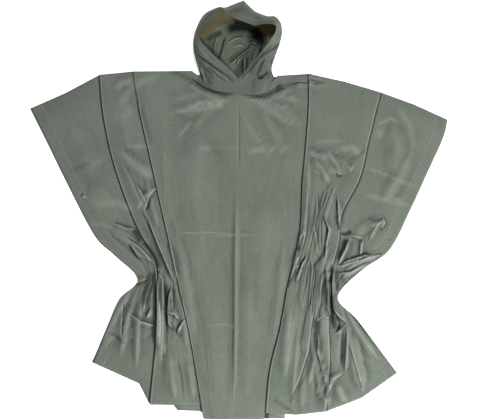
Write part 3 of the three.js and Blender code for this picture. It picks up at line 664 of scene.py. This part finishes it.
def row_of(v):
    """One row of the front: x, y, height without folds, and distance from the nearest pleat's edge."""
    at = {name: tuple(float(c) for c in line_at(name, np.float64(v))) for name in LINES}
    hang = float(smooth((v - LAST + HANG_ROWS) / HANG_ROWS))
    turned = float(smooth(v / SHOULDER_TURN))
    pleats = {
        name: (at[name][0], under, step * MM * hang, float(through(depth, np.float64(v))) * MM)
        for name, (under, step, depth) in PLEATS.items()
    }
    panels = []
    for lines, raised_by in PANELS:
        stops = [list(at[name]) for name in lines]
        end = pleats.get(list(lines)[-1])
        if end and end[1] > 0:
            stops[-1][1] += end[2]
        panels.append((list(lines), list(lines.values()), raised_by, np.array(stops)))
    xs, ys, zs, gaps = [], [], [], []

    def put(panel, x, level=0.0, cover=None, share=0.0):
        x = np.atleast_1d(x)
        y = np.interp(x, panel[3][:, 0], panel[3][:, 1])
        if cover is not None:
            y = y * (1 - share) + np.interp(x, cover[3][:, 0], cover[3][:, 1]) * share
        neck_share = smooth((x - NECK_SIDES[0]) / NECK_EASE) * smooth((NECK_SIDES[1] - x) / NECK_EASE)
        flat = np.maximum(turned, smooth(3 * neck_share))
        z = SHOULDER_LOW + (FRONT_LOW - SHOULDER_LOW) * flat
        z = z + NECK_LIFT * neck_share * smooth(1 - v / NECK_ROWS)
        for name in panel[2]:
            edge, under, _, depth = pleats[name]
            z = z + 2 * PASS * (1 - smooth((under * (x - edge) - depth) / SETTLE))
        inside = smooth((x - at["side_left"][0]) / LOFT_EDGE) * smooth((at["side_right"][0] - x) / LOFT_EDGE)
        z = z + LOFT * inside * smooth(v / 0.4) * smooth((LAST - v) / 0.5)
        xs.extend(x)
        ys.extend(y)
        zs.extend(z + level)
        gaps.extend(from_pleats(panel, x))

    def from_pleats(panel, x):
        gap = np.ones(x.shape)
        for name in (panel[0][0], panel[0][-1]):
            if name in pleats and v > PLEAT_STARTS.get(name, -1.0):
                lies_over = (name == panel[0][0]) == (pleats[name][1] > 0)
                here = np.abs(x - pleats[name][0]) * (-1 if lies_over else 1)
                gap = np.where(np.abs(here) < np.abs(gap), here, gap)
        return gap

    def fold(name, lower, upper):
        edge, under, _, depth = pleats[name]
        turn = PASS / 2
        steps = [(lower, depth * s, 0.0, None, 0.0) for s in (0.0, 0.4, 0.8)]
        steps += [(lower, depth - turn, 0.0, None, 0.0), (lower, depth, turn, None, 0.0)]
        steps += [(lower, d, PASS, upper, 1 - d / depth) for d in (depth - turn, depth / 2)]
        for angle in (-90, -140, -180, -220):
            reach = turn + turn * math.cos(math.radians(angle))
            steps.append((lower, reach, PASS + turn + turn * math.sin(math.radians(angle)), upper, 1.0))
        steps += [(upper, depth * s + turn * (1 - s), 0.0, None, 0.0) for s in (0.0, 0.25, 0.5, 0.75)]
        if under < 0:
            steps.reverse()
        for panel, reach, level, cover, share in steps:
            put(panel, edge + under * reach, level, cover, share)

    for i, panel in enumerate(panels):
        names, counts, _, stops = panel
        first, last = pleats.get(names[0]), pleats.get(names[-1])
        start = stops[0, 0] + (first[3] if first and first[1] > 0 else 0.0)
        finish_x = stops[-1, 0] - (last[3] if last and last[1] < 0 else 0.0)
        knots = [start, *stops[1:-1, 0], finish_x]
        run = [np.array([start])]
        for k in range(1, len(knots)):
            t = np.arange(1, counts[k] + 1) / counts[k]
            if names[k] == "centre":
                t = 1 - (1 - t) ** 1.6
            if names[k] == "chest_right":
                t = t ** 1.6
            run.append(knots[k - 1] + (knots[k] - knots[k - 1]) * t)
        run = np.concatenate(run)
        if last and last[1] > 0:
            run = run[:-1]
        if first and first[1] < 0:
            run = run[1:]
        put(panel, run)
        if last:
            below, above = (panel, panels[i + 1]) if last[1] > 0 else (panels[i + 1], panel)
            fold(names[-1], below, above)
    return np.stack([xs, ys, zs, gaps], axis=1)


def along(path, x, y):
    """Signed distance from a path, positive on its left as it is walked, and the share of the way."""
    path = np.array(path, float) * MM
    steps = np.diff(path, axis=0)
    lengths = np.hypot(steps[:, 0], steps[:, 1])
    before = np.concatenate([[0], np.cumsum(lengths)])
    best = np.full(x.shape, np.inf)
    signed = np.zeros(x.shape)
    share = np.zeros(x.shape)
    for a, step, length, run in zip(path[:-1], steps, lengths, before):
        dx, dy = x - a[0], y - a[1]
        t = np.clip((dx * step[0] + dy * step[1]) / length**2, 0, 1)
        gap = np.hypot(dx - t * step[0], dy - t * step[1])
        nearer = gap < best
        best = np.where(nearer, gap, best)
        side = np.sign(step[0] * dy - step[1] * dx)
        signed = np.where(nearer, gap * side, signed)
        share = np.where(nearer, (run + t * length) / before[-1], share)
    return signed, share


def near(path, reach, x, y):
    """Which places lie in a path's box, widened by its reach."""
    path = np.array(path, float) * MM
    low, high = path.min(axis=0) - reach, path.max(axis=0) + reach
    return (x > low[0]) & (x < high[0]) & (y > low[1]) & (y < high[1])


def relief(x, y, folds, creases):
    """Height that the folds and creases give each place: crests blend, troughs add."""
    crests = np.zeros(x.shape)
    troughs = np.zeros(x.shape)
    for path, half, high in folds:
        half, high = half * MM, high * FOLD_GAIN * MM
        here = near(path, 2 * half, x, y)
        signed, share = along(path, x[here], y[here])
        taper = smooth(4 * share) * smooth(4 * (1 - share))
        across = np.sqrt(np.maximum(0, 1 - (np.abs(signed) / (half * (0.2 + 0.8 * taper))) ** 3))
        crests[here] += (high * across * taper) ** 3
    for path, left, right, high in creases:
        left, right, high = left * MM, right * MM, high * CREASE_GAIN * MM
        here = near(path, 2 * max(left, right), x, y)
        signed, share = along(path, x[here], y[here])
        taper = smooth(3.2 * share) * smooth(3.2 * (1 - share))
        spread = CREASE_SPREAD if high > 0 else TROUGH_SPREAD
        width = np.where(signed > 0, right, left) * spread * (0.3 + 0.7 * taper)
        across = np.maximum(0, 1 + CREASE_TIP - np.sqrt((signed / width) ** 2 + CREASE_TIP**2)) ** 1.15
        value = high * across * taper
        if high > 0:
            crests[here] += value**3
        else:
            troughs[here] += value
    return np.cbrt(crests) + troughs


def as_creases(edges, foot, spread, gain):
    return tuple((path, width * spread, foot, high * gain) for path, width, high in edges)


def nearest_edge(x, y, from_pleat, edges, reach):
    """Distance from the nearest pleat or fold edge, negative on the cloth that lies over it."""
    gap = from_pleat.copy()
    for path, _, _ in edges:
        here = np.flatnonzero(near(path, reach, x, y))
        signed, share = along(path, x[here], y[here])
        ends = (1 - smooth(6 * share) * smooth(6 * (1 - share))) * PLEAT_LINE
        signed = signed + np.where(signed < 0, -ends, ends)
        closer = (np.abs(signed) < reach) & (np.abs(signed) < np.abs(gap[here]))
        gap[here[closer]] = signed[closer]
    return gap


def note_edges(piece, gaps, reach, cells):
    """Stores the distance from the nearest edge and how near it is, from 0 at its reach to 1 on the edge."""
    gaps = np.clip(gaps, -reach, reach)
    note(piece, "from_pleat", [gaps[cell] for cell in cells])
    note(piece, "near_pleat", [1 - abs(gaps[cell]) / reach for cell in cells])


def shade_of(x, y, shades):
    """How deep the shade lies at each place, from 0 to 1, along some paths."""
    deep = np.zeros(x.shape)
    for path, reach, depth in shades:
        here = np.flatnonzero(near(path, reach * MM, x, y))
        signed, share = along(path, x[here], y[here])
        ends = smooth(5 * share + 0.2) * smooth(5 * (1 - share) + 0.2)
        across = smooth(1.3 * (1 - np.abs(signed) / (reach * MM)))
        deep[here] = np.maximum(deep[here], depth * across * ends)
    return deep


def rise(heights):
    """How far each place of a grid stands above the middle height of those around it."""
    around = heights
    for _ in range(RISE_PASSES):
        wide = np.pad(around, 1, mode="edge")
        around = (wide[:-2, 1:-1] + wide[2:, 1:-1] + wide[1:-1, :-2] + wide[1:-1, 2:]) / 4
    return heights - around


def note_rise(piece, heights, cells, shaded=0.0, sheen=0.0):
    """Marks crests and sheen paths, painted pale as highlights, and troughs and shaded paths, painted dark as
    shade.
    """
    up = rise(heights) / RISE_FULL
    crest_highlight = np.maximum(np.clip(up, 0, 1) * (1 - shaded), sheen)
    trough_shade = np.maximum(np.clip(-up, 0, 1), shaded)
    note(piece, "crest_highlight", [crest_highlight[cell] for cell in cells])
    note(piece, "trough_shade", [trough_shade[cell] for cell in cells])


def wrinkle(across, down, gathered):
    """Small uneven creases with sharp crests, long down the cloth and strongest in the gathers."""
    values = np.zeros(across.shape)
    for k, (u, v) in enumerate(zip(across, down)):
        bend = 0.35 * noise.noise(Vector((u * 9, v * 7, 2.0)))
        broad = noise.noise(Vector((u * 11, v * 8, 0.3)))
        coarse = 1 - 2.6 * abs(noise.noise(Vector((u * 27 + bend, v * 5.5, 4.1))))
        fine = 1 - 2.6 * abs(noise.noise(Vector((u * 60 + 2 * bend, v * 11, 7.7))))
        values[k] = 1.2 * broad + gathered[k] * (1.5 * coarse + 0.9 * fine) + 0.15 * fine
    return values * MM


even = np.linspace(0, LAST, 40 * LAST + 1)
density = 1 + 1.3 * smooth((even - 2.0) / 1.5) * smooth((LAST + 0.4 - even) / 1.5)
packed = np.concatenate([[0], np.cumsum((density[1:] + density[:-1]) / 2)])
sections = np.interp(np.linspace(0, packed[-1], FRONT_ROWS), packed, even)
sections = np.concatenate([[0, SHOULDER_TURN], sections[1:]])
front_rows = np.stack([row_of(v) for v in sections])
front_places = np.ascontiguousarray(front_rows[:, :, :3])
flat_places = front_places.reshape(-1, 3)
gathered = np.zeros(len(flat_places))
for gx, gy, wide, long in GATHERS:
    away = np.hypot((flat_places[:, 0] - gx) / wide, (flat_places[:, 1] - gy) / long)
    gathered = np.maximum(gathered, np.exp(-(away**2)))
start = np.repeat(smooth(sections / 0.15), front_places.shape[1])
x, y = flat_places[:, 0], flat_places[:, 1]
raised = relief(x, y, FOLDS, CREASES + as_creases(FOLD_EDGES, EDGE_FOOT, EDGE_SPREAD, EDGE_GAIN))
from_edges = nearest_edge(x, y, front_rows[:, :, 3].ravel(), FOLD_EDGES, EDGE_REACH)
across = np.tile(front_places[0, :, 0], len(sections))
down = np.repeat(sections / LAST, front_places.shape[1])
raised = raised + wrinkle(across, down, gathered) * smooth(down * 18)
flat_places[:, 2] = np.maximum(flat_places[:, 2] + raised * start, SHOULDER_LOW)
front, cells = sheet_of("front_sheet", front_places, film_body)
widths = np.hypot(np.diff(front_places[:, :, 0], axis=1), np.diff(front_places[:, :, 1], axis=1))
from_left = np.concatenate([np.zeros((len(widths), 1)), np.cumsum(widths, axis=1)], axis=1)
from_side = np.minimum(from_left, from_left[:, -1:] - from_left)
note(front, "from_edge", [from_side[cell] for cell in cells])
note_edges(front, from_edges.reshape(from_side.shape), EDGE_REACH, cells)
shaded = shade_of(x, y, FRONT_SHADES).reshape(from_side.shape)
# Painted sheen: pale highlight streaks along the sheen paths.
sheen = SHEEN_GAIN * shade_of(x, y, FRONT_PAINTED_SHEENS).reshape(from_side.shape)
note_rise(front, raised.reshape(from_side.shape), cells, shaded, sheen)
note(front, "gathered", [gathered.reshape(from_side.shape)[cell] for cell in cells])
thicken(front)
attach(front, "root")
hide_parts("front")

# The hood is two halves of the same film, welded over the crown and down the throat and along
# the neckline. It lies on its back with the face opening up and its edge hemmed. Inside its brow the
# film is painted olive brown, a painted glow of light shining through it, painted brighter on the right half
# as light.
# The hood's outside and inside are darker copies of the body's film tones: painted shade.
HOOD_SHADED_TONES = ((0.048, 0.060, 0.046, 1), (0.066, 0.079, 0.062, 1), (0.110, 0.125, 0.106, 1))
INNER_SHADED_TONES = ((0.048, 0.062, 0.045, 1), (0.074, 0.090, 0.068, 1), (0.125, 0.145, 0.118, 1))
# Painted glow: olive brown standing in for light shining through the film inside the brow, the right half's
# brighter as painted light.
BROW_GLOW_BROWNS = {"hood_left": (0.060, 0.050, 0.020, 1), "hood_right": (0.190, 0.160, 0.066, 1)}
HOOD_LEVELS = 5
HOOD_UP = 150
HOOD_UP_SHARE = (0, 0.45, 0.70, 0.85, 1)
HOOD_ROUND = 176
HOOD_LEFT = (  # meridians from throat to crown: neck seam, low, widest, high, face edge
    ((0, 349, 9.9), (0, 361, 12), (0, 373, 14), (-1, 382, 16), (-1, 393, 18)),
    ((-39, 353, 9.9), (-39, 367, 13), (-39, 385, 18), (-36, 406, 21), (-30, 425, 22)),
    ((-78, 363, 9.9), (-84, 379, 14), (-84, 403, 22), (-75, 433, 28), (-60, 450, 30)),
    ((-103, 381, 10), (-112, 402, 14), (-117, 432, 24), (-107, 463, 36), (-89, 477, 40)),
    ((-116, 400, 9), (-119, 427, 9), (-135, 475, 22), (-128, 497, 40), (-115, 508, 50)),
    ((-93, 393, 3.6), (-104, 470, 0.8), (-133, 514, 22), (-128, 535, 46), (-119, 537, 58)),
    ((-62, 392, 3.6), (-88, 500, 0.8), (-118, 557, 24), (-111, 568, 52), (-101, 561, 66)),
    ((-46, 391, 3.6), (-70, 520, 0.8), (-98, 583, 25), (-93, 589, 55), (-77, 584, 72)),
    ((-30, 391, 3.6), (-48, 535, 0.8), (-66, 597, 26), (-61, 606, 60), (-54, 605, 77)),
    ((-18, 390, 3.6), (-32, 541, 0.8), (-40, 602, 26), (-36, 601, 64), (-34, 589, 82)),
    ((-8, 389, 3.6), (-14, 546, 0.8), (-14, 614, 26), (-12, 602, 68), (-12, 572, 84)),
    ((10, 388, 3.6), (12, 550, 0.8), (14, 625, 26), (14, 604, 70), (16, 561, 84)),
)
HOOD_RIGHT = (  # and from crown to throat
    ((10, 388, 3.6), (12, 550, 0.8), (14, 625, 26), (14, 604, 70), (16, 561, 84)),
    ((28, 390, 3.6), (30, 545, 0.8), (34, 605, 25), (32, 594, 68), (33, 555, 84)),
    ((42, 391, 3.6), (45, 538, 0.8), (52, 590, 23), (49, 584, 62), (50, 551, 82)),
    ((68, 393, 3.6), (64, 524, 0.8), (84, 577, 23), (82, 575, 56), (76, 556, 78)),
    ((80, 394, 3.6), (74, 508, 0.8), (106, 575, 23), (105, 573, 52), (100, 555, 73)),
    ((88, 395, 3.6), (80, 490, 0.8), (121, 558, 23), (120, 557, 46), (111, 548, 67)),
    ((97, 398, 5), (90, 464, 2), (127, 537, 22), (122, 536, 44), (108, 531, 60)),
    ((104, 402, 6), (99, 432, 8), (126, 512, 22), (119, 513, 42), (99, 516, 52)),
    ((101, 392, 10), (94, 428, 14), (108, 464, 24), (98, 484, 38), (83, 494, 44)),
    ((75, 351, 9.9), (78, 371, 15), (80, 412, 24), (69, 451, 30), (56, 461, 32)),
    ((38, 347, 9.9), (37, 364, 13), (39, 391, 18), (36, 415, 22), (29, 430, 23)),
    ((0, 349, 9.9), (0, 361, 12), (0, 373, 14), (-1, 382, 16), (-1, 393, 18)),
)
HOOD_FRONT_EDGES = (  # fold edges on the outside below the face, walked as those of the front
    (((126, 502), (96, 481), (74, 463), (66, 439)), 5, 3),
    (((77, 457), (69, 433), (57, 397)), 4, 3),
    (((98, 418), (81, 397), (56, 395)), 4, 3),
    (((46, 397), (47, 352)), 2, 1.4),
    (((90, 451), (99, 427), (114, 400)), 4, 2),
    (((120, 475), (96, 451), (87, 421)), 4, 2),
    (((-126, 451), (-108, 424), (-90, 412), (-85, 370)), 4, 2.4),
    (((-33, 403), (-75, 430), (-108, 457), (-132, 475)), 4, 2.2),
    (((-102, 379), (-108, 403), (-120, 427)), 3, 2),
    (((-30, 385), (-60, 403), (-81, 427)), 3, 1.6),
    (((56, 570), (33, 575), (15, 582)), 2, 1),
)
HOOD_FLOOR_EDGES = (  # and on the inside of its back
    (((-60, 445), (-51, 481), (-39, 526)), 4, 3),
    (((-34, 433), (-6, 457), (21, 480), (42, 493)), 5, 3),
    (((14, 403), (14, 463)), 2, 1.6),
    (((22, 463), (22, 403)), 2, 1.6),
    (((68, 541), (69, 502), (57, 469), (33, 433)), 4, 2.4),
    (((-36, 502), (-12, 517), (18, 521)), 4, 2.6),
    (((18, 520), (45, 515), (63, 502)), 4, 2.6),
    (((-21, 490), (3, 499), (21, 490)), 3, 2),
    (((57, 493), (36, 502), (21, 490)), 3, 2),
    (((-78, 463), (-75, 493), (-66, 520)), 3, 2),
    (((-9, 433), (-3, 451), (15, 466)), 3, 1.6),
    (((39, 445), (42, 469), (54, 487)), 3, 1.6),
)
HOOD_EDGE_REACH = 6 * MM
HOOD_FOOT = 2.6
HOOD_FRONT_SPREAD = 0.9
HOOD_FLOOR_SPREAD = 1.2
HOOD_FLOOR_GAIN = 0.6
HOOD_LAP = 0.12 * MM
HOOD_WELD_IN = 17 * MM
BROW_GLOW_LEVEL = 1.15
LAP_CLEAR = 0.55 * MM
LAP_LEVELS = 1.3
HOOD_SHADES = (  # path, reach and depth of the painted shade under the brow and beside the painted brown glow
    (((-42, 541), (-9, 551), (24, 550), (51, 535), (65, 511), (65, 481)), 22, 1),
    (((-21, 562), (15, 560), (48, 550)), 22, 1),
    (((-99, 505), (-78, 523), (-48, 535)), 14, 0.75),
    (((-81, 517), (-84, 481), (-69, 445)), 24, 0.35),
    (((-60, 451), (-49, 487), (-39, 520)), 7, 0.7),
    (((-33, 442), (-3, 469), (27, 490)), 13, 0.5),
    (((66, 499), (66, 469), (45, 433), (27, 403)), 11, 0.75),
    (((26, 463), (24, 433), (15, 397)), 6, 0.6),
    (((12, 391), (8, 427), (11, 457)), 5, 0.6),
    (((-88, 373), (-84, 409), (-93, 433)), 12, 0.55),
    (((-117, 451), (-99, 421), (-102, 391)), 8, 0.5),
    (((54, 394), (72, 400), (90, 416)), 8, 0.95),
    (((57, 451), (78, 466), (105, 484), (126, 502)), 7, 0.75),
    (((54, 397), (63, 421), (75, 448)), 5, 0.7),
    (((-123, 463), (-81, 436), (-33, 403), (-9, 379)), 8, 0.65),
    (((42, 349), (42, 373), (42, 394)), 4, 0.5),
    (((-138, 511), (-129, 475), (-99, 442)), 14, 0.35),
)


def top_over(pieces_below, x, y):
    """Height of the highest of some pieces at a place, or below the floor where none lies."""
    top = -1.0
    for piece in pieces_below:
        hit, where, _, _ = piece.ray_cast(Vector((x, y, 1.0)), Vector((0, 0, -1)))
        if hit:
            top = max(top, where.z)
    return top


film_hood = film("film_hood", HOOD_WELD_IN, HOOD_SHADED_TONES)
bpy.context.view_layer.update()
for side, name, meridians in ((-1, "hood_left", HOOD_LEFT), (1, "hood_right", HOOD_RIGHT)):
    table = np.array(meridians, float) * MM
    up = np.interp(np.linspace(0, 1, HOOD_UP + 1), HOOD_UP_SHARE, range(HOOD_LEVELS))
    turns = np.linspace(0, len(meridians) - 1, HOOD_ROUND + 1)
    levels = np.array([[through(meridian[:, k], up) for k in range(3)] for meridian in table])
    places = np.array([[through(levels[:, k, i], turns) for k in range(3)] for i in range(HOOD_UP + 1)])
    places = places.transpose(0, 2, 1)
    places[:, (0, -1), 0] -= side * HOOD_LAP
    from_throat = turns if side < 0 else turns[::-1]
    in_front = smooth(5.2 - from_throat)[None, :] * smooth(up * 2)[:, None] * smooth((4 - up) * 2)[:, None]
    on_floor = smooth(from_throat - 4.2)[None, :] * smooth(up * 3)[:, None] * smooth(2.2 - up)[:, None]
    x, y = places[:, :, 0].ravel(), places[:, :, 1].ravel()
    shape = places.shape[:2]
    front_folds = as_creases(HOOD_FRONT_EDGES, HOOD_FOOT, HOOD_FRONT_SPREAD, 1.0)
    floor_folds = as_creases(HOOD_FLOOR_EDGES, HOOD_FOOT, HOOD_FLOOR_SPREAD, HOOD_FLOOR_GAIN)
    hood_relief = relief(x, y, (), front_folds).reshape(shape) * in_front
    hood_relief += relief(x, y, (), floor_folds).reshape(shape) * on_floor
    far = np.ones(len(x))
    outside = nearest_edge(x, y, far, HOOD_FRONT_EDGES, HOOD_EDGE_REACH).reshape(shape)
    inside = nearest_edge(x, y, far, HOOD_FLOOR_EDGES, HOOD_EDGE_REACH).reshape(shape)
    hood_edges = np.where(in_front > 0.5, outside, np.where(on_floor > 0.5, inside, 1.0))
    places[:, :, 2] += hood_relief
    places[:, :, 2] = np.maximum(places[:, :, 2], FILM_THICK)
    for i in np.flatnonzero(up < LAP_LEVELS):
        for j in range(HOOD_ROUND + 1):
            below = top_over((front, back), places[i, j, 0], places[i, j, 1])
            places[i, j, 2] = max(places[i, j, 2], below + LAP_CLEAR)
    lining = film(name + "_lining", HOOD_WELD_IN, INNER_SHADED_TONES, BROW_GLOW_BROWNS[name])
    hood, cells = sheet_of(name + "_sheet", places, film_hood, lining)
    steps = np.linalg.norm(np.diff(places, axis=0), axis=2)
    from_rim = np.concatenate([np.cumsum(steps[::-1], axis=0)[::-1], np.zeros((1, HOOD_ROUND + 1))])
    # Where the painted brown glow lies inside the brow.
    brow = smooth((from_throat - 4.2) / 0.8)[None, :] * smooth((up - BROW_GLOW_LEVEL) / 0.12)[:, None]
    shaded = shade_of(x, y, HOOD_SHADES).reshape(shape) * np.maximum(in_front, on_floor)
    note_rise(hood, hood_relief, cells, shaded)
    note_edges(hood, hood_edges, HOOD_EDGE_REACH, cells)
    note(hood, "from_edge", [from_rim[cell] for cell in cells])
    note(hood, "brown_glow", [brow[cell] for cell in cells])
    thicken(hood, True)
    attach(hood, "root")
    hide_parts(name)

# Two press studs near the side edges, which hold the sides together under the arms. They are
# stamped from thin sheet metal, dulled by wear, and keep the shape of their solids.
STUD_TONES = ((0.16, 0.17, 0.15, 1), (0.42, 0.43, 0.40, 1))
STUD_BRUSH = (400.0, 60.0, 400.0)
STUD_NAMES = ("stud_left", "stud_right")
metal = Finish("stud_metal")
stud_place = metal.node("ShaderNodeTexCoord", {}, {}, "Object")
drawn_out = metal.node("ShaderNodeMapping", {}, {"Vector": stud_place, "Scale": STUD_BRUSH})
brushed = metal.noise(drawn_out, 1.0, 3.0)
worn = metal.noise(stud_place, GRAIN_PER_M, 3.0, 0.6)
stud_colour = metal.blend(worn, *STUD_TONES)
stud_normal = metal.bump(brushed, 0.0002, 0.5)
stud_metal = metal.close(stud_colour, brushed * 0.25 + 0.35, stud_normal, Metallic=0.8)
for name in STUD_NAMES:
    stud = bpy.data.objects[name]
    stud.data.materials.clear()
    stud.data.materials.append(stud_metal)

# A plain white light table under the garment, lit softly from all round, with one broad light high on
# the head side and another low off the right of the hem.
PAPER_WHITE = (0.93, 0.93, 0.93, 1)
PAPER_GLOW = 0.6
ROOM_GLOW = 0.17
PAPER_REACH = 9.0
PAPER_Z = -0.5 * MM
paper = Finish("paper")
paper_face = paper.node("ShaderNodeBsdfDiffuse", {}, {"Color": PAPER_WHITE}, "BSDF")
glow = paper.node("ShaderNodeEmission", {}, {"Strength": PAPER_GLOW}, "Emission")
paper.end(paper.node("ShaderNodeAddShader", {}, {0: paper_face, 1: glow}, "Shader"))
corners = [[(x * PAPER_REACH, y * PAPER_REACH, PAPER_Z) for x in (-1, 1)] for y in (1, -1)]
floor, _ = sheet_of("floor", np.array(corners), paper.material)


def lamp(name, place, size, power, colour=(1, 1, 1)):
    data = bpy.data.lights.new(name, "AREA")
    data.energy, data.size, data.color = power, size, colour
    made = bpy.data.objects.new(name, data)
    made.location = place
    made.rotation_euler = (-Vector(place)).to_track_quat("-Z", "Y").to_euler()
    bpy.context.scene.collection.objects.link(made)


lamp("head_side", (0.5, 3.6, 5.4), 1.4, 255)
lamp("hem_side", (1.8, -2.4, 1.9), 0.6, 222)
world = bpy.data.worlds.new("room")
bpy.context.scene.world = world
world.use_nodes = True
world.node_tree.nodes["Background"].inputs["Color"].default_value = (1, 1, 1, 1)
world.node_tree.nodes["Background"].inputs["Strength"].default_value = ROOM_GLOW
bpy.context.scene.view_settings.view_transform = "Standard"
